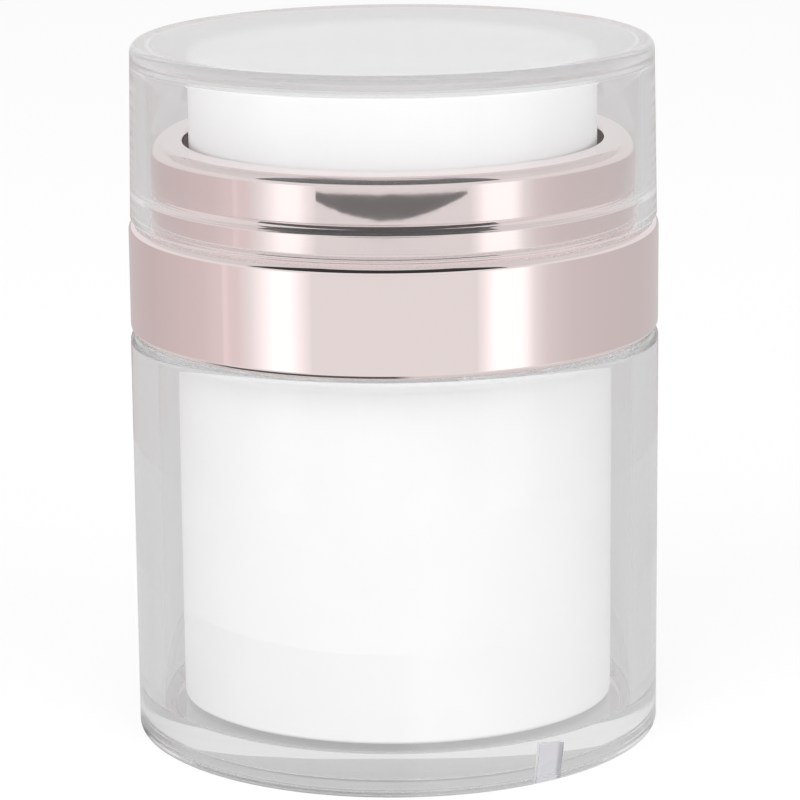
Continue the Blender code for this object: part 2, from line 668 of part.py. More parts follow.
def build():
    for old in list(bpy.data.objects):
        bpy.data.objects.remove(old, do_unlink=True)
    clear_acrylic = plastic("clear_acrylic", (0.95, 0.95, 0.96), 0.03, clear=1.0)
    white_polypropylene = plastic("white_polypropylene", (0.92, 0.92, 0.93), 0.28)
    rose_gold = plastic("rose_gold_metallised", (0.80, 0.62, 0.58), 0.1, metallic=1.0)
    natural_plastic = plastic("natural_polypropylene", (0.82, 0.82, 0.80), 0.35)
    soft_white = plastic("white_polyethylene", (0.88, 0.88, 0.88), 0.45)
    silicone = plastic("silicone", (0.78, 0.80, 0.82), 0.5)
    steel = plastic("stainless_steel", (0.62, 0.62, 0.63), 0.25, metallic=1.0)

    jar_axis = group("jar_axis", 0.0)
    outer_jar(jar_axis, clear_acrylic)
    inner_cup(jar_axis, white_polypropylene)

    follower_axis = group("follower_axis", CUP_INSIDE, jar_axis)
    follower_piston(follower_axis, soft_white)

    lift_axis = group("lift_axis", NECK_TOP, jar_axis)
    sealing_gasket(lift_axis, silicone)

    pump_axis = group("pump_axis", PLATE_BOTTOM, lift_axis)
    pump_carrier(pump_axis, white_polypropylene)
    collar_shell(pump_axis, rose_gold)
    chamber_gasket(pump_axis, silicone)
    pump_chamber(pump_axis, natural_plastic)
    chamber_cap(pump_axis, white_polypropylene)
    return_spring(pump_axis, steel)

    ball_axis = group("ball_axis", POCKET_BOTTOM, pump_axis)
    inlet_ball(ball_axis, steel)

    head_axis = group("head_axis", HEAD_BOTTOM, pump_axis)
    press_head(head_axis, white_polypropylene)
    stem(head_axis, natural_plastic)
    piston_seal(head_axis, soft_white)

    valve_axis = group("valve_axis", STEM_TOP, head_axis)
    outlet_valve(valve_axis, silicone)

    cap_axis = group("cap_axis", CAP_BOTTOM, pump_axis)
    overcap(cap_axis, clear_acrylic)


build()
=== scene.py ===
"""An airless pump jar for cream: clear double wall, white cup, rose-gold collar, press head and clear cap.

The pieces follow each other in the order in which the jar is put together, from its foot up. Each section
gives its lengths in millimetres, and they become metres on the way into Blender; the camera and the studio
are in metres. The jar's axis is Z, and -Y is its front. An outline is a list of (radius, height) points.
"""

from math import atan2, degrees, hypot, pi, radians, tau

import bpy
from mathutils import Matrix, Vector


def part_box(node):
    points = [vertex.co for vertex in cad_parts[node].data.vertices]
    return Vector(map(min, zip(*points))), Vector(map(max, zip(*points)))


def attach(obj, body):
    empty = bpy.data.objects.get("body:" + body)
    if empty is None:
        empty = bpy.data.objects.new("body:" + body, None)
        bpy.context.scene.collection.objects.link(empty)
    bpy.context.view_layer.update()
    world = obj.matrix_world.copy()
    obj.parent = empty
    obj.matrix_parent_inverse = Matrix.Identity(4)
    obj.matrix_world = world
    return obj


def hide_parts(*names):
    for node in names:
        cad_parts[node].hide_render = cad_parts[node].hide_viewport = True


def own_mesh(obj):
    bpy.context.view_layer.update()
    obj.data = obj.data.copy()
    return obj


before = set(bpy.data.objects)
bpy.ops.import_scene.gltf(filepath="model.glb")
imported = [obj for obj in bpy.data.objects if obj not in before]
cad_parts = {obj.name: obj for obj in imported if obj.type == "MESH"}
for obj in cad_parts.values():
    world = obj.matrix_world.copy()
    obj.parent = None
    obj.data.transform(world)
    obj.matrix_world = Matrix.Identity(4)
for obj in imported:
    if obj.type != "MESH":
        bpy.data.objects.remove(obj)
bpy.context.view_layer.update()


# Camera. It stands 44 cm in front of the jar and 14 cm up, and looks down by 13.4 degrees through a long
# lens. The photograph is turned by half a degree and sits a little off centre, which the roll and the shift
# repeat.

eye = (0.0, -0.4425, 0.1446)
dip, roll = 0.2345, 0.0095
camera = bpy.data.objects.new("camera", bpy.data.cameras.new("camera"))
bpy.context.scene.collection.objects.link(camera)
bpy.context.scene.camera = camera
camera.data.lens = 173.07
camera.data.sensor_width = 36.0
camera.data.shift_x = 0.00595
camera.data.clip_start = 0.01
aim = Matrix.Rotation(pi / 2 - dip, 4, "X") @ Matrix.Rotation(-roll, 4, "Z")
camera.matrix_world = Matrix.Translation(eye) @ aim


# Outer jar. Crystal-clear acrylic (PMMA), injection moulded in one piece: a thick wall, a thicker base with
# a shallow recess inside the foot, and one small notch that the filling line turns the jar by. The cup
# hangs on its rim.

MM = 0.001


def extent(node):
    """The outer radius, the foot and the top of a round CAD node, in millimetres."""
    low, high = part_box(node)
    return round(high[1] / MM, 2), round(low[2] / MM, 2), round(high[2] / MM, 2)


def turned(name, outline, solid=False, sides=160):
    """Turns a piece about the jar's axis. A circle at the outline's first point is extruded to each of the
    others. A solid piece keeps a disc at both ends, and any other is bridged back to its first ring."""
    radius, height = outline[0]
    bpy.ops.object.select_all(action="DESELECT")
    bpy.ops.mesh.primitive_circle_add(
        vertices=sides,
        radius=radius * MM,
        fill_type="NGON" if solid else "NOTHING",
        location=(0, 0, height * MM),
    )
    piece = bpy.context.object
    piece.name = piece.data.name = name
    bpy.ops.object.transform_apply(location=True, rotation=True, scale=True)
    bpy.ops.object.mode_set(mode="EDIT")
    bpy.ops.mesh.select_mode(type="EDGE")
    bpy.ops.mesh.select_all(action="SELECT")
    for next_radius, next_height in outline[1:]:
        rise = (next_height - height) * MM
        bpy.ops.mesh.extrude_region_move(TRANSFORM_OT_translate={"value": (0, 0, rise)})
        bpy.ops.transform.resize(value=(next_radius / radius, next_radius / radius, 1))
        radius, height = next_radius, next_height
    if not solid:
        bpy.ops.mesh.select_all(action="DESELECT")
        bpy.ops.mesh.select_non_manifold()
        bpy.ops.mesh.bridge_edge_loops()
    bpy.ops.mesh.select_all(action="SELECT")
    bpy.ops.mesh.normals_make_consistent(inside=False)
    bpy.ops.object.mode_set(mode="OBJECT")
    return piece


def round_rims(piece, rims, size, steps=4):
    """Bevels the edge loops that lie at the given points of a piece's outline."""
    near = 0.03
    bpy.ops.object.select_all(action="DESELECT")
    piece.select_set(True)
    bpy.context.view_layer.objects.active = piece
    bpy.ops.object.mode_set(mode="EDIT")
    bpy.ops.mesh.select_mode(type="EDGE")
    bpy.ops.mesh.select_all(action="DESELECT")
    bpy.ops.object.mode_set(mode="OBJECT")
    places = []
    for vertex in piece.data.vertices:
        radius = hypot(vertex.co.x, vertex.co.y) / MM
        places.append(Vector((round(radius, 2), round(vertex.co.z / MM, 2))))
    for edge in piece.data.edges:
        a, b = (places[i] for i in edge.vertices)
        edge.select = any(max((a - Vector(rim)).length, (b - Vector(rim)).length) < near for rim in rims)
    bpy.ops.object.mode_set(mode="EDIT")
    bpy.ops.mesh.bevel(offset=size * MM, segments=steps, affect="EDGES")
    bpy.ops.object.mode_set(mode="OBJECT")


def change(piece, kind, **settings):
    """Gives a piece one modifier and applies it."""
    bpy.ops.object.select_all(action="DESELECT")
    piece.select_set(True)
    bpy.context.view_layer.objects.active = piece
    modifier = piece.modifiers.new(kind.lower(), kind)
    for name, value in settings.items():
        setattr(modifier, name, value)
    bpy.ops.object.modifier_apply(modifier=modifier.name)


def smooth(piece):
    """Smooth shading that leaves the flat faces flat beside their rounded rims."""
    bpy.ops.object.select_all(action="DESELECT")
    piece.select_set(True)
    bpy.context.view_layer.objects.active = piece
    bpy.ops.object.shade_smooth_by_angle(angle=radians(35))
    change(piece, "WEIGHTED_NORMAL", keep_sharp=True, weight=100)


def linear(colour):
    """The linear colour that a shader takes, from an sRGB hex colour."""
    shares = [int(colour[i:i + 2], 16) / 255 for i in (1, 3, 5)]
    return (*[s / 12.92 if s <= 0.04045 else ((s + 0.055) / 1.055) ** 2.4 for s in shares], 1.0)


def add(tree, kind, inputs, **choices):
    """Adds a node with its own choices, and fills its inputs with values or with other nodes' outputs."""
    node = tree.nodes.new(kind)
    for name, value in choices.items():
        setattr(node, name, value)
    for name, value in inputs.items():
        if isinstance(value, bpy.types.NodeSocket):
            tree.links.new(value, node.inputs[name])
        else:
            node.inputs[name].default_value = value
    return node


def new_finish(name, **constants):
    """A Principled material with constant values; with it come its tree, shader and object coordinates."""
    material = bpy.data.materials.new(name)
    material.use_nodes = True
    tree = material.node_tree
    shader = tree.nodes["Principled BSDF"]
    for socket, value in constants.items():
        shader.inputs[socket.replace("_", " ")].default_value = value
    return material, tree, shader, add(tree, "ShaderNodeTexCoord", {}).outputs["Object"]


# Polished PMMA: clear and almost colourless, IOR 1.49. The melt front leaves a very slight waviness, about
# 8 mm from crest to crest and a few microns deep, and handling leaves faint softer patches in the gloss.
# The flat top of the cap is rubbed most, so what lies under it looks a little blurred.
clear_acrylic, tree, shader, place = new_finish(
    "clear_acrylic", Base_Color=linear("#fcfcfc"), IOR=1.49, Transmission_Weight=1.0
)
waviness = add(tree, "ShaderNodeTexNoise", {"Vector": place, "Scale": 1000 / 8, "Detail": 1.0})
patches = add(tree, "ShaderNodeTexNoise", {"Vector": place, "Scale": 1000 / 14, "Detail": 3.0})
gloss = add(
    tree,
    "ShaderNodeMapRange",
    {"Value": patches.outputs["Fac"], "From Min": 0.35, "From Max": 0.7, "To Min": 0.003, "To Max": 0.015},
)
ripple = add(
    tree, "ShaderNodeBump", {"Height": waviness.outputs["Fac"], "Distance": 0.006 * MM, "Strength": 1.0}
)
axes = add(tree, "ShaderNodeSeparateXYZ", {"Vector": place})
cap_top = extent("overcap")[2]
rubbed_from = cap_top - 0.4
rubbed = add(
    tree,
    "ShaderNodeMapRange",
    {"Value": axes.outputs["Z"], "From Min": rubbed_from * MM, "From Max": cap_top * MM, "To Max": 0.12},
)
rough = add(
    tree, "ShaderNodeMath", {0: gloss.outputs["Result"], 1: rubbed.outputs["Result"]}, operation="ADD"
)
tree.links.new(rough.outputs[0], shader.inputs["Roughness"])
tree.links.new(ripple.outputs["Normal"], shader.inputs["Normal"])

jar_radius, jar_foot, jar_rim = extent("outer_jar")
jar_wall, base_top = 3.0, 4.6
recess_radius, recess_top = 27.0, 1.4
jar_bore = jar_radius - jar_wall
jar_outline = [(recess_radius, recess_top), (recess_radius, jar_foot), (jar_radius, jar_foot)]
jar_outline += [(jar_radius, jar_rim), (jar_bore, jar_rim), (jar_bore, base_top)]
jar = turned("jar", jar_outline, solid=True)
round_rims(jar, [(jar_radius, jar_rim)], size=1.0, steps=6)
round_rims(jar, [(jar_radius, jar_foot)], size=0.6)
round_rims(jar, [(jar_bore, base_top), (recess_radius, recess_top)], size=0.4)
round_rims(jar, [(recess_radius, jar_foot), (jar_bore, jar_rim)], size=0.25, steps=3)
jar.data.materials.append(clear_acrylic)

# The notch. The insert that forms it is left matt, so its faces are frosted and scatter part of the light.
# The real frosting is near 0.02 mm; it is drawn at 0.4 mm so that it shows at all.
frosted_acrylic, tree, shader, place = new_finish(
    "frosted_acrylic", Base_Color=linear("#eeeef3"), IOR=1.49, Transmission_Weight=0.75
)
frost = add(tree, "ShaderNodeTexNoise", {"Vector": place, "Scale": 1000 / 0.4, "Detail": 2.0})
matt = add(tree, "ShaderNodeMapRange", {"Value": frost.outputs["Fac"], "To Min": 0.15, "To Max": 0.3})
tree.links.new(matt.outputs["Result"], shader.inputs["Roughness"])

notch_width, notch_depth, notch_height = 3.4, 1.0, 4.4
notch_skin, notch_round, notch_lean, notch_turn = 1.4, 0.25, 8, 35
under_foot = 1.0
bpy.ops.object.select_all(action="DESELECT")
bpy.ops.mesh.primitive_cube_add(
    size=1,
    location=(0, -(jar_radius - notch_skin - notch_depth / 2) * MM, (notch_height - under_foot) / 2 * MM),
    rotation=(0, radians(notch_lean), 0),
    scale=(notch_width * MM, notch_depth * MM, (notch_height + under_foot) * MM),
)
notch = bpy.context.object
bpy.ops.transform.rotate(value=-radians(notch_turn), orient_axis="Z", center_override=(0, 0, 0))
bpy.ops.object.transform_apply(location=True, rotation=True, scale=True)
bpy.ops.object.mode_set(mode="EDIT")
bpy.ops.mesh.select_all(action="SELECT")
bpy.ops.mesh.bevel(offset=notch_round * MM, segments=4, affect="EDGES")
bpy.ops.object.mode_set(mode="OBJECT")
notch.data.materials.append(frosted_acrylic)
change(jar, "BOOLEAN", object=notch, operation="DIFFERENCE", solver="EXACT", material_mode="TRANSFER")
bpy.data.objects.remove(notch)
smooth(jar)
jar.visible_shadow = False
jar.visible_diffuse = False
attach(jar, "jar")
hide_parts("outer_jar")


# Inner cup. It holds the cream: white polypropylene, injection moulded, with a flange that hangs it on the
# jar's rim and a threaded neck above. Between cup and jar lies 2.5 mm of air, which makes the wall look
# doubled.

# Satin-moulded polypropylene: white, IOR 1.49, with the fine even grain of a blasted mould. The real grain
# is near 0.05 mm; it is drawn at 0.4 mm so that it shows at all.
white_polypropylene, tree, shader, place = new_finish("white_polypropylene", IOR=1.49)
grain = add(tree, "ShaderNodeTexNoise", {"Vector": place, "Scale": 1000 / 0.4, "Detail": 2.0})
clouding = add(tree, "ShaderNodeTexNoise", {"Vector": place, "Scale": 1000 / 11, "Detail": 2.0})
tone = add(
    tree,
    "ShaderNodeMix",
    {"Factor": clouding.outputs["Fac"], "A": linear("#f1f1f2"), "B": linear("#f6f6f6")},
    data_type="RGBA",
)
satin = add(
    tree,
    "ShaderNodeMapRange",
    {"Value": clouding.outputs["Fac"], "From Min": 0.3, "From Max": 0.7, "To Min": 0.3, "To Max": 0.4},
)
relief = add(
    tree, "ShaderNodeBump", {"Height": grain.outputs["Fac"], "Distance": 0.004 * MM, "Strength": 0.5}
)
tree.links.new(tone.outputs["Result"], shader.inputs["Base Color"])
tree.links.new(satin.outputs["Result"], shader.inputs["Roughness"])
tree.links.new(relief.outputs["Normal"], shader.inputs["Normal"])

thread_start, pitch, thread_turns = 51.2, 3.0, 1.25
ridge_height, ridge_width, ridge_root, crest_share = 1.4, 1.5, 0.4, 0.6


def thread(piece, wall, crest, turn):
    """Joins one helical ridge to a round wall. Its root goes into the wall, and turn is where it starts."""
    near = 0.01
    buried = wall - ridge_root if crest > wall else wall + ridge_root
    bpy.ops.object.select_all(action="DESELECT")
    bpy.ops.mesh.primitive_plane_add(
        size=1, location=((buried + crest) / 2 * MM, 0, thread_start * MM), rotation=(pi / 2, 0, 0)
    )
    ridge = bpy.context.object
    ridge.scale = (abs(crest - buried) * MM, ridge_width * MM, 1)
    bpy.ops.object.transform_apply(location=True, rotation=True, scale=True)
    bpy.ops.object.mode_set(mode="EDIT")
    bpy.ops.mesh.select_mode(type="VERT")
    bpy.ops.mesh.select_all(action="DESELECT")
    bpy.ops.object.mode_set(mode="OBJECT")
    for vertex in ridge.data.vertices:
        vertex.select = abs(vertex.co.x / MM - crest) < near
    bpy.ops.object.mode_set(mode="EDIT")
    bpy.ops.transform.resize(value=(1, 1, crest_share))
    bpy.ops.mesh.select_all(action="SELECT")
    bpy.ops.transform.rotate(value=-turn, orient_axis="Z", center_override=(0, 0, 0))
    bpy.ops.object.mode_set(mode="OBJECT")
    sweep = thread_turns * tau
    climb = thread_turns * pitch * MM
    change(ridge, "SCREW", axis="Z", angle=sweep, screw_offset=climb, steps=200, render_steps=200)
    bpy.ops.object.mode_set(mode="EDIT")
    bpy.ops.mesh.select_all(action="DESELECT")
    bpy.ops.mesh.select_non_manifold()
    bpy.ops.mesh.edge_face_add()
    bpy.ops.mesh.select_all(action="SELECT")
    bpy.ops.mesh.normals_make_consistent(inside=False)
    bpy.ops.object.mode_set(mode="OBJECT")
    change(piece, "BOOLEAN", object=ridge, operation="UNION", solver="EXACT")
    bpy.data.objects.remove(ridge)


flange_radius, cup_foot, cup_rim = extent("inner_cup")
air_gap, cup_wall, vent_radius = 2.5, 1.3, 1.5
cup_radius = jar_bore - air_gap
cup_bore = cup_radius - cup_wall
cup_floor = cup_foot + cup_wall
plug_radius, plug_foot = 27.7, 46.8
flange_foot, flange_top = 48.3, 49.8
cup_outline = [(vent_radius, cup_foot), (cup_radius, cup_foot), (cup_radius, plug_foot)]
cup_outline += [(plug_radius, plug_foot), (plug_radius, flange_foot), (flange_radius, flange_foot)]
cup_outline += [(flange_radius, flange_top), (cup_radius, flange_top), (cup_radius, cup_rim)]
cup_outline += [(cup_bore, cup_rim), (cup_bore, cup_floor), (vent_radius, cup_floor)]
cup_edges = [(plug_radius, plug_foot), (flange_radius, flange_foot), (flange_radius, flange_top)]
cup_edges += [(cup_radius, cup_rim), (cup_bore, cup_rim)]
cup = turned("cup", cup_outline)
round_rims(cup, [(cup_radius, cup_foot)], size=0.5, steps=5)
round_rims(cup, [(cup_bore, cup_floor), (cup_radius, plug_foot)], size=0.5)
round_rims(cup, cup_edges, size=0.2, steps=2)
thread(cup, cup_radius, cup_radius + ridge_height, 0.0)
smooth(cup)
cup.data.materials.append(white_polypropylene)
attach(cup, "jar")
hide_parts("inner_cup")


# Follower piston. Soft white polyethylene, moulded: it rises in the cup as the cream is used. Two wiper
# lips seal it to the cup's wall, and the well in its middle goes round the pump's foot at the end of its
# travel.

# Polyethylene is softer and duller than the cup's polypropylene, slightly translucent and waxy.
white_polyethylene, tree, shader, place = new_finish(
    "white_polyethylene", IOR=1.51, Subsurface_Weight=0.2, Subsurface_Scale=0.001
)
wax = add(tree, "ShaderNodeTexNoise", {"Vector": place, "Scale": 1000 / 3, "Detail": 3.0})
tone = add(
    tree,
    "ShaderNodeMix",
    {"Factor": wax.outputs["Fac"], "A": linear("#e4e4e2"), "B": linear("#eeeeec")},
    data_type="RGBA",
)
dulled = add(tree, "ShaderNodeMapRange", {"Value": wax.outputs["Fac"], "To Min": 0.42, "To Max": 0.55})
tree.links.new(tone.outputs["Result"], shader.inputs["Base Color"])
tree.links.new(dulled.outputs["Result"], shader.inputs["Roughness"])

wiper_radius, follower_foot, follower_top = extent("follower_piston")
side, well, well_floor, skin, lip = 23.0, 8.5, 10.5, 1.2, 0.7
ceiling = follower_top - skin
follower_outline = [(well, well_floor), (well, follower_top), (wiper_radius, follower_top)]
follower_outline += [(wiper_radius, follower_top - lip), (side, follower_top - 2 * lip)]
follower_outline += [(side, follower_foot + 2 * lip), (wiper_radius, follower_foot + lip)]
follower_outline += [(wiper_radius, follower_foot), (side - skin, follower_foot), (side - skin, ceiling)]
follower_outline += [(well + skin, ceiling), (well + skin, well_floor - skin)]
follower_edges = [(well, follower_top), (well + skin, well_floor - skin), (well + skin, ceiling)]
follower_edges += [(side - skin, ceiling)]
follower = turned("follower", follower_outline, solid=True)
round_rims(follower, follower_edges, size=0.3, steps=3)
smooth(follower)
follower.data.materials.append(white_polyethylene)
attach(follower, "follower")
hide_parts("follower_piston")


# Sealing gasket. A flat silicone ring, stamped from sheet, that closes the cup's neck against the pump
# carrier. It lies on the neck's rim, and is lifted with the pump when the collar is unscrewed.

# Silicone rubber: milky, translucent and matt, with a fine powdery bloom.
silicone, tree, shader, place = new_finish(
    "silicone", IOR=1.41, Subsurface_Weight=0.4, Subsurface_Scale=0.001
)
bloom = add(tree, "ShaderNodeTexNoise", {"Vector": place, "Scale": 1000 / 0.8, "Detail": 4.0})
tone = add(
    tree,
    "ShaderNodeMix",
    {"Factor": bloom.outputs["Fac"], "A": linear("#d9dcdf"), "B": linear("#e6e8ea")},
    data_type="RGBA",
)
matt = add(tree, "ShaderNodeMapRange", {"Value": bloom.outputs["Fac"], "To Min": 0.5, "To Max": 0.65})
tree.links.new(tone.outputs["Result"], shader.inputs["Base Color"])
tree.links.new(matt.outputs["Result"], shader.inputs["Roughness"])

gasket_radius, gasket_foot, gasket_top = extent("sealing_gasket")
gasket_outline = [(cup_bore, gasket_foot), (gasket_radius, gasket_foot)]
gasket_outline += [(gasket_radius, gasket_top), (cup_bore, gasket_top)]
gasket = turned("gasket", gasket_outline)
round_rims(gasket, gasket_outline, size=0.1, steps=2)
smooth(gasket)
gasket.data.materials.append(silicone)
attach(gasket, "lift")
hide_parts("sealing_gasket")


# Pump carrier. White polypropylene, injection moulded: a ring that screws onto the cup's neck, with a plate
# across it that holds the pump. The collar is snapped over its outside.

carrier_radius, carrier_foot, carrier_top = extent("pump_carrier")
carrier_bore, plate_hole, plate = 27.3, 7.5, 1.4
carrier_outline = [(carrier_bore, carrier_foot), (carrier_radius, carrier_foot)]
carrier_outline += [(carrier_radius, carrier_top), (plate_hole, carrier_top)]
carrier_outline += [(plate_hole, carrier_top - plate), (carrier_bore, carrier_top - plate)]
carrier_edges = [(carrier_radius, carrier_foot), (carrier_radius, carrier_top), (plate_hole, carrier_top)]
carrier = turned("carrier", carrier_outline)
round_rims(carrier, carrier_edges, size=0.3, steps=3)
thread(carrier, carrier_bore, carrier_bore - ridge_height, pi)
smooth(carrier)
carrier.data.materials.append(white_polypropylene)
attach(carrier, "pump")
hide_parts("pump_carrier")


# Collar. A thin moulded shell of ABS, vacuum metallised in pale rose gold and lacquered. The wide band
# covers the carrier and turns with it; the neck above guides the press head, and a groove round it holds
# the overcap.

# Vacuum metallising is aluminium under a tinted lacquer: a mirror with a pale rose colour, a clear hard
# coat and the slight orange peel of the lacquer, about 1.6 mm from crest to crest.
rose_gold, tree, shader, place = new_finish(
    "rose_gold_metallised",
    Metallic=1.0,
    Coat_Weight=0.4,
    Coat_Roughness=0.03,
    Coat_IOR=1.5,
)
orange_peel = add(tree, "ShaderNodeTexNoise", {"Vector": place, "Scale": 1000 / 1.6, "Detail": 2.0})
drift = add(tree, "ShaderNodeTexNoise", {"Vector": place, "Scale": 1000 / 25, "Detail": 2.0})
tint = add(
    tree,
    "ShaderNodeMix",
    {"Factor": drift.outputs["Fac"], "A": linear("#f8eae9"), "B": linear("#faeceb")},
    data_type="RGBA",
)
gloss = add(
    tree, "ShaderNodeMapRange", {"Value": orange_peel.outputs["Fac"], "To Min": 0.015, "To Max": 0.035}
)
relief = add(
    tree, "ShaderNodeBump", {"Height": orange_peel.outputs["Fac"], "Distance": 0.0012 * MM, "Strength": 0.6}
)
tree.links.new(tint.outputs["Result"], shader.inputs["Base Color"])
tree.links.new(gloss.outputs["Result"], shader.inputs["Roughness"])
tree.links.new(relief.outputs["Normal"], shader.inputs["Normal"])

band_radius, band_foot, neck_top = extent("collar_shell")
band_top, shell = 61.1, 1.2
neck_radius, guide_radius, guide_foot = 28.3, 24.5, 63.5
groove_radius, groove_foot, groove_floor, groove_top = 27.8, 64.2, 65.2, 65.4
collar_outline = [(band_radius - shell, band_foot), (band_radius, band_foot), (band_radius, band_top)]
collar_outline += [(neck_radius, band_top), (neck_radius, groove_foot), (groove_radius, groove_floor)]
collar_outline += [(neck_radius, groove_top), (neck_radius, neck_top), (guide_radius, neck_top)]
collar_outline += [(guide_radius, guide_foot), (guide_radius + shell, guide_foot)]
collar_outline += [(guide_radius + shell, neck_top - shell), (neck_radius - shell, neck_top - shell)]
collar_outline += [(neck_radius - shell, band_top - shell), (band_radius - shell, band_top - shell)]
collar = turned("collar", collar_outline, sides=192)
round_rims(collar, [(band_radius, band_top)], size=0.9, steps=8)
round_rims(collar, [(band_radius, band_foot)], size=0.8, steps=6)
round_rims(collar, [(neck_radius, neck_top)], size=1.3, steps=10)
round_rims(collar, [(guide_radius, neck_top)], size=0.45, steps=5)
round_rims(collar, [(neck_radius, groove_foot), (neck_radius, band_top)], size=0.12, steps=3)
round_rims(collar, [(groove_radius, groove_floor), (neck_radius, groove_top)], size=0.08, steps=3)
smooth(collar)
collar.data.materials.append(rose_gold)
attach(collar, "pump")
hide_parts("collar_shell")


# Chamber gasket. A second silicone ring, stamped from the same sheet. It lies on the carrier's plate, under
# the flange of the pump chamber.

ring_radius, ring_foot, ring_top = extent("chamber_gasket")
ring_outline = [(plate_hole, ring_foot), (ring_radius, ring_foot)]
ring_outline += [(ring_radius, ring_top), (plate_hole, ring_top)]
chamber_ring = turned("chamber_ring", ring_outline, sides=96)
round_rims(chamber_ring, ring_outline, size=0.1, steps=2)
smooth(chamber_ring)
chamber_ring.data.materials.append(silicone)
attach(chamber_ring, "pump")
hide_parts("chamber_gasket")


# Pump chamber. The pump's cylinder, injection moulded in natural polypropylene and hung by its flange. Its
# foot holds the inlet's ball in a pocket: four nubs cage the ball, and the port below is its seat.

# Unpigmented polypropylene: a milky body that passes some light, smooth from the mould.
natural_polypropylene, tree, shader, place = new_finish(
    "natural_polypropylene", IOR=1.49, Subsurface_Weight=0.6, Subsurface_Scale=0.002
)
haze = add(tree, "ShaderNodeTexNoise", {"Vector": place, "Scale": 1000 / 5, "Detail": 3.0})
tone = add(
    tree,
    "ShaderNodeMix",
    {"Factor": haze.outputs["Fac"], "A": linear("#dcdcd8"), "B": linear("#e6e6e3")},
    data_type="RGBA",
)
sheen = add(tree, "ShaderNodeMapRange", {"Value": haze.outputs["Fac"], "To Min": 0.25, "To Max": 0.4})
tree.links.new(tone.outputs["Result"], shader.inputs["Base Color"])
tree.links.new(sheen.outputs["Result"], shader.inputs["Roughness"])

rim_radius, foot, chamber_top = extent("pump_chamber")
port, pocket, bore, wall, shelf = 1.6, 2.9, 6.0, 1.2, 45.4
rim_foot = chamber_top - wall
chamber_outline = [(port, foot), (pocket + wall, foot), (pocket + wall, shelf - wall)]
chamber_outline += [(bore + wall, shelf - wall), (bore + wall, rim_foot), (rim_radius, rim_foot)]
chamber_outline += [(rim_radius, chamber_top), (bore, chamber_top), (bore, shelf), (pocket, shelf)]
chamber_outline += [(pocket, foot + wall), (port, foot + wall)]
chamber_edges = [(bore + wall, shelf - wall), (pocket + wall, foot), (rim_radius, chamber_top)]
chamber_edges += [(rim_radius, rim_foot)]
chamber = turned("chamber", chamber_outline, sides=96)
round_rims(chamber, chamber_edges, size=0.25, steps=3)
nub_length, nub_width, nub_height = 1.6, 1.0, 0.8
nub_radius, nub_middle, nub_round = 2.7, 44.85, 0.15
for quarter in range(4):
    bpy.ops.object.select_all(action="DESELECT")
    bpy.ops.mesh.primitive_cube_add(
        size=1,
        location=(nub_radius * MM, 0, nub_middle * MM),
        scale=(nub_length * MM, nub_width * MM, nub_height * MM),
    )
    nub = bpy.context.object
    bpy.ops.transform.rotate(value=-quarter * tau / 4, orient_axis="Z", center_override=(0, 0, 0))
    bpy.ops.object.transform_apply(location=True, rotation=True, scale=True)
    bpy.ops.object.mode_set(mode="EDIT")
    bpy.ops.mesh.select_all(action="SELECT")
    bpy.ops.mesh.bevel(offset=nub_round * MM, segments=2, affect="EDGES")
    bpy.ops.object.mode_set(mode="OBJECT")
    change(chamber, "BOOLEAN", object=nub, operation="UNION", solver="EXACT")
    bpy.data.objects.remove(nub)
smooth(chamber)
chamber.data.materials.append(natural_polypropylene)
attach(chamber, "pump")
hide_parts("pump_chamber")


# Chamber cap. White polypropylene, moulded: it snaps over the chamber's flange, its sleeve guides the stem
# and stops the piston at the top of its stroke, and the return spring stands on it.

skirt_radius, sleeve_foot, guide_top = extent("chamber_cap")
sleeve_bore, sleeve_radius, skirt_bore, skirt_foot, guide_ceiling = 3.5, 5.7, 10.3, 61.0, 62.5
guide_outline = [(sleeve_bore, sleeve_foot), (sleeve_radius, sleeve_foot), (sleeve_radius, guide_ceiling)]
guide_outline += [(skirt_bore, guide_ceiling), (skirt_bore, skirt_foot), (skirt_radius, skirt_foot)]
guide_outline += [(skirt_radius, guide_top), (sleeve_bore, guide_top)]
guide_edges = [(skirt_radius, guide_top), (sleeve_bore, guide_top), (skirt_radius, skirt_foot)]
stem_guide = turned("stem_guide", guide_outline, sides=96)
round_rims(stem_guide, guide_edges, size=0.25, steps=3)
smooth(stem_guide)
stem_guide.data.materials.append(white_polypropylene)
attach(stem_guide, "pump")
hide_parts("chamber_cap")


# Return spring. Stainless steel wire, 1 mm thick, wound in six open turns. It stands on the chamber cap and
# lifts the press head, so it closes up as the head goes down.

# Drawn stainless wire: fine lengthwise drawing lines, here 0.15 mm apart, and a slightly warm grey.
stainless_steel, tree, shader, place = new_finish("stainless_steel", Metallic=1.0)
along = add(tree, "ShaderNodeMapping", {"Vector": place, "Scale": (1.0, 1.0, 8.0)})
lines = add(
    tree, "ShaderNodeTexNoise", {"Vector": along.outputs["Vector"], "Scale": 1000 / 1.2, "Detail": 4.0}
)
tone = add(
    tree,
    "ShaderNodeMix",
    {"Factor": lines.outputs["Fac"], "A": linear("#b9b8b6"), "B": linear("#cfcecc")},
    data_type="RGBA",
)
brushed = add(tree, "ShaderNodeMapRange", {"Value": lines.outputs["Fac"], "To Min": 0.18, "To Max": 0.32})
tree.links.new(tone.outputs["Result"], shader.inputs["Base Color"])
tree.links.new(brushed.outputs["Result"], shader.inputs["Roughness"])

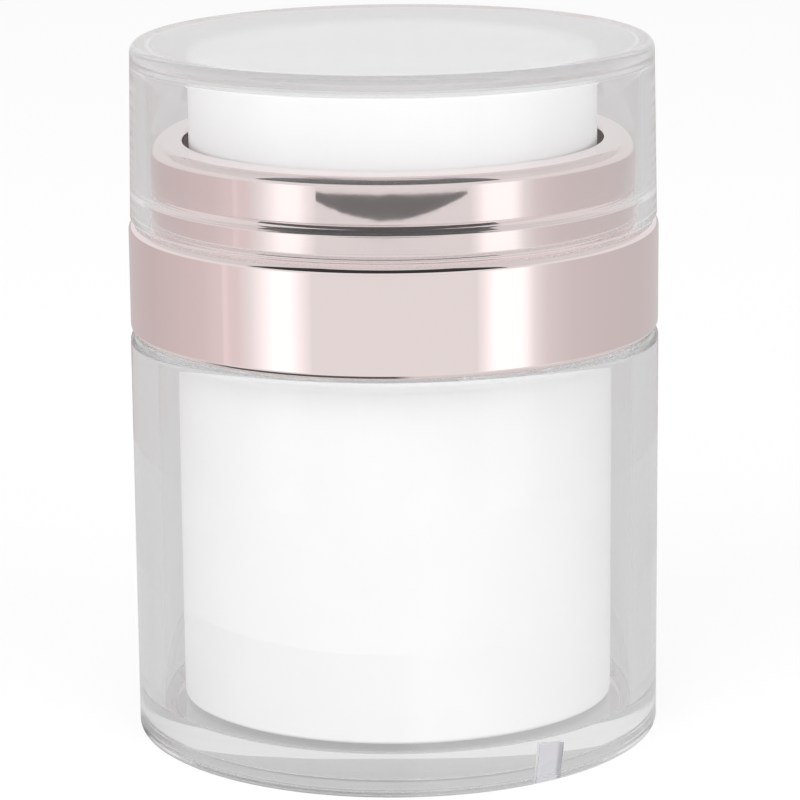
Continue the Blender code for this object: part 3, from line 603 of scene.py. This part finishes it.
wire_radius, coil_radius, coils = 0.5, 6.5, 6
first_coil, last_coil = 64.5, 76.2
bpy.ops.object.select_all(action="DESELECT")
bpy.ops.mesh.primitive_circle_add(
    vertices=16,
    radius=wire_radius * MM,
    location=(coil_radius * MM, 0, first_coil * MM),
    rotation=(pi / 2, 0, 0),
)
spring = bpy.context.object
spring.name = spring.data.name = "spring"
bpy.ops.object.transform_apply(location=True, rotation=True, scale=True)
climb = (last_coil - first_coil) * MM
steps = 48 * coils
change(spring, "SCREW", axis="Z", angle=coils * tau, screw_offset=climb, steps=steps, render_steps=steps)
bpy.ops.object.mode_set(mode="EDIT")
bpy.ops.mesh.select_mode(type="EDGE")
bpy.ops.mesh.select_all(action="DESELECT")
bpy.ops.mesh.select_non_manifold()
bpy.ops.mesh.edge_face_add()
bpy.ops.mesh.select_all(action="SELECT")
bpy.ops.mesh.normals_make_consistent(inside=False)
bpy.ops.object.mode_set(mode="OBJECT")
smooth(spring)
spring.data.materials.append(stainless_steel)
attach(spring, "pump")
# The spring is 12.7 mm long at rest, and 7.2 mm when the head is down.
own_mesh(spring)
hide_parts("return_spring")


# Inlet ball. A stainless steel ball, 4.4 mm across, that rests over the port in the chamber's foot. The
# piston draws it off its seat, and the cream's weight drops it back.

ball_radius, ball_foot, ball_top = extent("inlet_ball")
bpy.ops.object.select_all(action="DESELECT")
bpy.ops.mesh.primitive_cube_add(size=ball_radius * MM, location=(0, 0, (ball_foot + ball_top) / 2 * MM))
ball = bpy.context.object
ball.name = ball.data.name = "ball"
bpy.ops.object.mode_set(mode="EDIT")
bpy.ops.mesh.select_all(action="SELECT")
bpy.ops.mesh.subdivide(number_cuts=11)
bpy.ops.object.mode_set(mode="OBJECT")
change(ball, "CAST", factor=1.0, size=ball_radius * MM, use_radius_as_size=False)
bpy.ops.object.transform_apply(location=True, rotation=True, scale=True)
smooth(ball)
ball.data.materials.append(stainless_steel)
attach(ball, "ball")
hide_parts("inlet_ball")


# Press head. White polypropylene, injection moulded: a drum with a shallow dish on top, where the cream
# comes out through the hole in the middle. It slides in the collar's neck, and its socket takes the stem.

head_radius, head_foot, head_top = extent("press_head")
head_wall, orifice = 1.4, 1.5
dish_rim, dish_radius, dish_depth = 21.6, 20.0, 0.8
socket_bore, socket_radius, socket_foot = 3.5, 4.8, 71.0
dish_floor = head_top - dish_depth
head_ceiling = dish_floor - head_wall
head_outline = [(head_radius - head_wall, head_foot), (head_radius, head_foot), (head_radius, head_top)]
head_outline += [(dish_rim, head_top), (dish_radius, dish_floor), (orifice, dish_floor)]
head_outline += [(orifice, head_ceiling), (socket_bore, head_ceiling), (socket_bore, socket_foot)]
head_outline += [(socket_radius, socket_foot), (socket_radius, head_ceiling)]
head_outline += [(head_radius - head_wall, head_ceiling)]
head_edges = [(orifice, dish_floor), (head_radius, head_foot), (socket_radius, socket_foot)]
head = turned("head", head_outline, sides=192)
round_rims(head, [(head_radius, head_top)], size=0.8, steps=5)
round_rims(head, [(dish_rim, head_top), (dish_radius, dish_floor)], size=0.5, steps=3)
round_rims(head, head_edges, size=0.25, steps=3)
smooth(head)
head.data.materials.append(white_polypropylene)
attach(head, "head")
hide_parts("press_head")


# Stem. Natural polypropylene, moulded and hollow: it joins the head to the piston and carries the cream up.
# A flange and a collar near its foot hold the piston seal between them.

shoulder_radius, stem_foot, stem_top = extent("stem")
stem_bore, stem_radius, shoulder, upper_shoulder = 1.6, 3.2, 0.8, 56.3
stem_outline = [(stem_bore, stem_foot), (shoulder_radius, stem_foot)]
stem_outline += [(shoulder_radius, stem_foot + shoulder), (stem_radius, stem_foot + shoulder)]
stem_outline += [(stem_radius, upper_shoulder), (shoulder_radius, upper_shoulder)]
stem_outline += [(shoulder_radius, upper_shoulder + shoulder), (stem_radius, upper_shoulder + shoulder)]
stem_outline += [(stem_radius, stem_top), (stem_bore, stem_top)]
hollow_stem = turned("hollow_stem", stem_outline, sides=64)
round_rims(hollow_stem, [(stem_radius, stem_top), (shoulder_radius, stem_foot)], size=0.2, steps=2)
smooth(hollow_stem)
hollow_stem.data.materials.append(natural_polypropylene)
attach(hollow_stem, "head")
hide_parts("stem")


# Piston seal. Soft polyethylene, moulded, with one thin lip up and one down against the chamber's bore. It
# sits between the stem's flange and collar.

lip_radius, seal_foot, seal_top = extent("piston_seal")
seal_bore, waist, lip_height = 3.5, 5.2, 1.0
seal_outline = [(seal_bore, seal_foot), (lip_radius, seal_foot), (waist, seal_foot + lip_height)]
seal_outline += [(waist, seal_top - lip_height), (lip_radius, seal_top), (seal_bore, seal_top)]
seal = turned("seal", seal_outline, sides=96)
round_rims(seal, [(waist, seal_foot + lip_height), (waist, seal_top - lip_height)], size=0.3, steps=3)
smooth(seal)
seal.data.materials.append(white_polyethylene)
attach(seal, "head")
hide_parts("piston_seal")


# Outlet valve. A silicone poppet on the stem's rim: its pin stays in the stem's bore while the disc lifts
# 0.8 mm to let the cream out.

disc_radius, pin_foot, disc_top = extent("outlet_valve")
pin_radius, disc = 0.9, 0.8
disc_foot = disc_top - disc
valve_outline = [(pin_radius, pin_foot), (pin_radius, disc_foot)]
valve_outline += [(disc_radius, disc_foot), (disc_radius, disc_top)]
valve_edges = [(pin_radius, pin_foot), (disc_radius, disc_top), (disc_radius, disc_foot)]
valve = turned("valve", valve_outline, solid=True, sides=64)
round_rims(valve, valve_edges, size=0.15, steps=2)
smooth(valve)
valve.data.materials.append(silicone)
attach(valve, "valve")
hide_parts("outlet_valve")


# Overcap. Crystal-clear acrylic like the jar, injection moulded with a flat top and a slightly leaning
# wall. It pushes onto the collar's neck, where a low bead in its bore clicks into the groove.

cap_radius, cap_foot, cap_top = extent("overcap")
cap_wall, cap_plate, cap_lean = 2.0, 1.8, 0.4
cap_bore = cap_radius - cap_wall
cap_ceiling = cap_top - cap_plate
# two plain rings beside the bead keep its soft shading away from the rest of the bore
bead_middle, bead_height, bead_half, bead_support = 64.85, 0.15, 0.35, 0.75
cap_outline = [(cap_radius - cap_lean, cap_top), (cap_radius, cap_foot), (cap_bore, cap_foot)]
cap_outline += [(cap_bore, bead_middle - bead_support), (cap_bore, bead_middle - bead_half)]
cap_outline += [(cap_bore - bead_height, bead_middle), (cap_bore, bead_middle + bead_half)]
cap_outline += [(cap_bore, bead_middle + bead_support), (cap_bore, cap_ceiling)]
clear_cap = turned("clear_cap", cap_outline, solid=True, sides=192)
round_rims(clear_cap, [(cap_radius - cap_lean, cap_top)], size=1.1, steps=8)
round_rims(clear_cap, [(cap_bore, cap_ceiling)], size=1.0, steps=6)
round_rims(clear_cap, [(cap_radius, cap_foot)], size=0.4)
round_rims(clear_cap, [(cap_bore - bead_height, bead_middle)], size=0.12, steps=2)
smooth(clear_cap)
clear_cap.data.materials.append(clear_acrylic)
clear_cap.visible_shadow = False
clear_cap.visible_diffuse = False
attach(clear_cap, "cap")
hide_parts("overcap")


# Studio. A plain pale table in a pale room, with two soft front lamps and one above. The metal and the
# clear plastic's edges show what stands round them: two screens, one behind the other, three cards on the
# table, and a dark drape high above the camera.

# The table glows a little, so that it looks nearly white to the camera and pale grey through the plastic.
bpy.ops.object.select_all(action="DESELECT")
bpy.ops.mesh.primitive_plane_add(size=4, location=(0, 0, -0.0001))
floor = bpy.context.object
floor.name = "floor"
glow, more_for_camera = 0.22, 0.34
table_top, tree, shader = new_finish("table_top", Roughness=0.9, Specular_IOR_Level=0.0)[:3]
shader.inputs["Base Color"].default_value = linear("#b0b0b0")
shader.inputs["Emission Color"].default_value = (1, 1, 1, 1)
seen = add(tree, "ShaderNodeLightPath", {})
lift = add(
    tree,
    "ShaderNodeMath",
    {0: seen.outputs["Is Camera Ray"], 1: more_for_camera, 2: glow},
    operation="MULTIPLY_ADD",
)
tree.links.new(lift.outputs[0], shader.inputs["Emission Strength"])
floor.data.materials.append(table_top)


def mirrored_only(name, levels=None, level=0.0, left=1.0, right=1.0, in_walls=False):
    """A glow that only mirror reflections meet, so that the room behind clear plastic stays plain. It has
    one level, or levels at angles round the jar, in degrees from the front to the right. Beyond 60 degrees
    to the left or right, only that share of its green and blue light is left. A glow with in_walls also
    shows inside the clear walls."""
    material = bpy.data.materials.new(name)
    material.use_nodes = True
    tree = material.node_tree
    tree.nodes.clear()
    rays = add(tree, "ShaderNodeLightPath", {})
    depth = rays.outputs["Glossy Depth"]
    reflected = add(tree, "ShaderNodeMath", {0: depth, 1: 0.5}, operation="GREATER_THAN")
    if not in_walls:
        # a ray that has crossed one to three clear faces has turned inside a wall, and met no metal
        crossed = rays.outputs["Transmission Depth"]
        turned_in = add(tree, "ShaderNodeMath", {0: crossed, 1: 2.0, 2: 1.1}, operation="COMPARE")
        reflected = add(
            tree, "ShaderNodeMath", {0: reflected.outputs[0], 1: turned_in.outputs[0]}, operation="SUBTRACT"
        )
    glow = add(tree, "ShaderNodeEmission", {"Strength": level})
    if levels:
        # a colour ramp holds no value above 1, so it holds the levels divided by this
        brightest, flank = 2.0, 60
        place = add(tree, "ShaderNodeTexCoord", {}).outputs["Object"]
        axes = add(tree, "ShaderNodeSeparateXYZ", {"Vector": place})
        front = add(tree, "ShaderNodeMath", {0: axes.outputs["Y"], 1: -1.0}, operation="MULTIPLY")
        turn = add(tree, "ShaderNodeMath", {0: axes.outputs["X"], 1: front.outputs[0]}, operation="ARCTAN2")
        share = add(tree, "ShaderNodeMapRange", {"Value": turn.outputs[0], "From Min": -pi, "From Max": pi})
        ramp = add(tree, "ShaderNodeValToRGB", {"Fac": share.outputs["Result"]})
        while len(ramp.color_ramp.elements) < len(levels):
            ramp.color_ramp.elements.new(0.5)
        for element, (angle, value) in zip(ramp.color_ramp.elements, levels):
            element.position = (angle + 180) / 360
            warmth = left if angle < -flank else right if angle > flank else 1.0
            red, other = value / brightest, value * warmth / brightest
            element.color = (red, other, other, 1)
        glow.inputs["Strength"].default_value = brightest
        tree.links.new(ramp.outputs["Color"], glow.inputs["Color"])
    clear = add(tree, "ShaderNodeBsdfTransparent", {})
    both = add(tree, "ShaderNodeMixShader", {"Fac": reflected.outputs[0]})
    tree.links.new(clear.outputs[0], both.inputs[1])
    tree.links.new(glow.outputs[0], both.inputs[2])
    add(tree, "ShaderNodeOutputMaterial", {"Surface": both.outputs[0]})
    return material


def studio_only(board):
    """Keeps a board out of the camera's sight and out of the light on the jar."""
    board.visible_camera = False
    board.visible_diffuse = False
    board.visible_shadow = False


def curved_screen(name, radius, foot, height, first, last):
    """A screen round the jar, from one angle to another, in degrees from the front to the right."""
    bpy.ops.object.select_all(action="DESELECT")
    bpy.ops.mesh.primitive_cylinder_add(
        vertices=180,
        radius=radius,
        depth=height,
        end_fill_type="NOTHING",
        location=(0, 0, foot + height / 2),
    )
    screen = bpy.context.object
    screen.name = name
    bpy.ops.object.transform_apply(location=True, rotation=True, scale=True)
    bpy.ops.object.mode_set(mode="EDIT")
    bpy.ops.mesh.select_mode(type="FACE")
    bpy.ops.mesh.select_all(action="DESELECT")
    bpy.ops.object.mode_set(mode="OBJECT")
    for face in screen.data.polygons:
        turn = degrees(atan2(face.center.x, -face.center.y))
        face.select = (turn - first) % 360 > last - first
    bpy.ops.object.mode_set(mode="EDIT")
    bpy.ops.mesh.delete(type="FACE")
    bpy.ops.object.mode_set(mode="OBJECT")
    return screen


# A low screen close round the jar, open to the camera. Its two bright strips are the highlights of the
# metal.
near_screen = curved_screen("near_screen", radius=0.15, foot=0.0, height=0.065, first=32, last=328)
levels = [(-180, 0.62), (-118, 0.58), (-98, 0.63), (-82, 0.67), (-76, 0.72), (-71.5, 0.74), (-69.8, 0.86)]
levels += [(-68, 0.76), (-63.8, 0.755), (-58, 0.825), (-52.6, 1.02), (-48, 1.2), (-40, 1.2), (-36.8, 1.02)]
levels += [(-32, 0.83), (32, 0.83), (35, 0.97), (38.5, 1.2), (50.5, 1.2), (53, 1.05), (56, 0.84)]
levels += [(62, 0.72), (68, 0.67), (75, 0.63), (90, 0.61), (120, 0.58), (180, 0.62)]
near_screen.data.materials.append(mirrored_only("near_screen", levels, left=0.89, right=0.95))
studio_only(near_screen)

# A pale card on the table before the jar, which the front of the metal shows between the two strips. The
# cards lie one or two tenths of a millimetre above the table.
bpy.ops.mesh.primitive_plane_add(size=0.8, location=(0, -0.435, 0.0001))
pale_card = bpy.context.object
pale_card.name = "pale_card"
pale_card.data.materials.append(mirrored_only("pale_card", level=0.8))
studio_only(pale_card)

# A round card under the jar, dark at the front left. The band's lower edge shows it as a thin dark line.
bpy.ops.mesh.primitive_circle_add(vertices=180, radius=0.085, fill_type="NGON", location=(0, 0, 0.00015))
near_card = bpy.context.object
near_card.name = "near_card"
levels = [(-180, 0.7), (-95, 0.7), (-75, 0.1), (0, 0.1), (8, 0.7), (180, 0.7)]
near_card.data.materials.append(mirrored_only("near_card", levels))
studio_only(near_card)

# A dark crescent on the table before the jar: the front of a large circle, extruded to a flatter copy of
# itself. The neck shows it as a dark lens.
crescent_radius, cut, flattened, crescent_turn = 0.378, -0.299, 0.49, 3.5
bpy.ops.object.select_all(action="DESELECT")
bpy.ops.mesh.primitive_circle_add(vertices=180, radius=crescent_radius, location=(0, 0, 0.0002))
dark_card = bpy.context.object
dark_card.name = "dark_card"
bpy.ops.object.transform_apply(location=True, rotation=True, scale=True)
bpy.ops.object.mode_set(mode="EDIT")
bpy.ops.mesh.select_mode(type="VERT")
bpy.ops.mesh.select_all(action="DESELECT")
bpy.ops.object.mode_set(mode="OBJECT")
for vertex in dark_card.data.vertices:
    vertex.select = vertex.co.y > cut
bpy.ops.object.mode_set(mode="EDIT")
bpy.ops.mesh.delete(type="VERT")
bpy.ops.mesh.select_all(action="SELECT")
bpy.ops.mesh.extrude_region_move()
bpy.ops.transform.resize(value=(1, flattened, 1), center_override=(0, cut, 0))
bpy.ops.mesh.select_all(action="SELECT")
bpy.ops.transform.rotate(value=radians(crescent_turn), orient_axis="Z", center_override=(0, 0, 0))
bpy.ops.object.mode_set(mode="OBJECT")
dark_card.data.materials.append(mirrored_only("dark_card", level=0.1))
studio_only(dark_card)

# A plain screen all round, behind the near one. The top of the cap and the clear walls show it.
far_radius, far_height = 0.445, 0.235
far_screen = curved_screen("far_screen", far_radius, foot=0.0, height=far_height, first=0, last=360)
far_screen.data.materials.append(mirrored_only("far_screen", level=0.82, in_walls=True))
studio_only(far_screen)

# A dark drape over the front of that screen. The collar's rounded edges show it as fine dark lines.
dark_drape = curved_screen("dark_drape", far_radius, foot=far_height, height=0.95, first=-66, last=50)
dark_drape.data.materials.append(mirrored_only("dark_drape", level=0.04))
studio_only(dark_drape)

# The room lights the jar more from its horizon than from above. Mirrors and clear plastic see it at one
# even level, and the camera sees it white.
horizon, zenith, even, white = 1.2, 0.68, 0.7, 1.0
room = bpy.data.worlds.new("room")
bpy.context.scene.world = room
room.use_nodes = True
tree = room.node_tree
background = tree.nodes["Background"]
rays = add(tree, "ShaderNodeLightPath", {})
direction = add(tree, "ShaderNodeTexCoord", {}).outputs["Generated"]
sky = add(tree, "ShaderNodeSeparateXYZ", {"Vector": direction})
plain = add(
    tree,
    "ShaderNodeMapRange",
    {"Value": sky.outputs["Z"], "From Max": 1.0, "To Min": horizon, "To Max": zenith},
)
mirrored = add(
    tree,
    "ShaderNodeMix",
    {"Factor": rays.outputs["Is Glossy Ray"], "A": plain.outputs["Result"], "B": even},
    data_type="FLOAT",
)
level = add(
    tree,
    "ShaderNodeMix",
    {"Factor": rays.outputs["Is Camera Ray"], "A": mirrored.outputs["Result"], "B": white},
    data_type="FLOAT",
)
background.inputs["Color"].default_value = (1, 1, 1, 1)
tree.links.new(level.outputs["Result"], background.inputs["Strength"])


def lamp(name, place, size, power):
    """A soft square lamp that faces the middle of the jar. Only the light that it casts is seen."""
    middle = Vector((0, 0, 0.04))
    light = bpy.data.lights.new(name, "AREA")
    light.shape = "SQUARE"
    light.size = size
    light.energy = power
    holder = bpy.data.objects.new(name, light)
    bpy.context.scene.collection.objects.link(holder)
    holder.location = place
    holder.rotation_euler = (middle - Vector(place)).to_track_quat("-Z", "Y").to_euler()
    holder.visible_camera = False
    holder.visible_glossy = False
    holder.visible_transmission = False


lamp("key_lamp", place=(-0.5, -0.65, 0.45), size=0.7, power=2.5)
lamp("fill_lamp", place=(0.6, -0.6, 0.4), size=0.6, power=1.9)
lamp("top_lamp", place=(0.0, 0.2, 1.1), size=0.9, power=0.4)

# Light turns many times inside the cap's rim and the jar's base before it leaves them.
turns = 96
bpy.context.scene.cycles.max_bounces = turns
bpy.context.scene.cycles.glossy_bounces = turns
bpy.context.scene.cycles.transmission_bounces = turns
bpy.context.scene.view_settings.view_transform = "Standard"
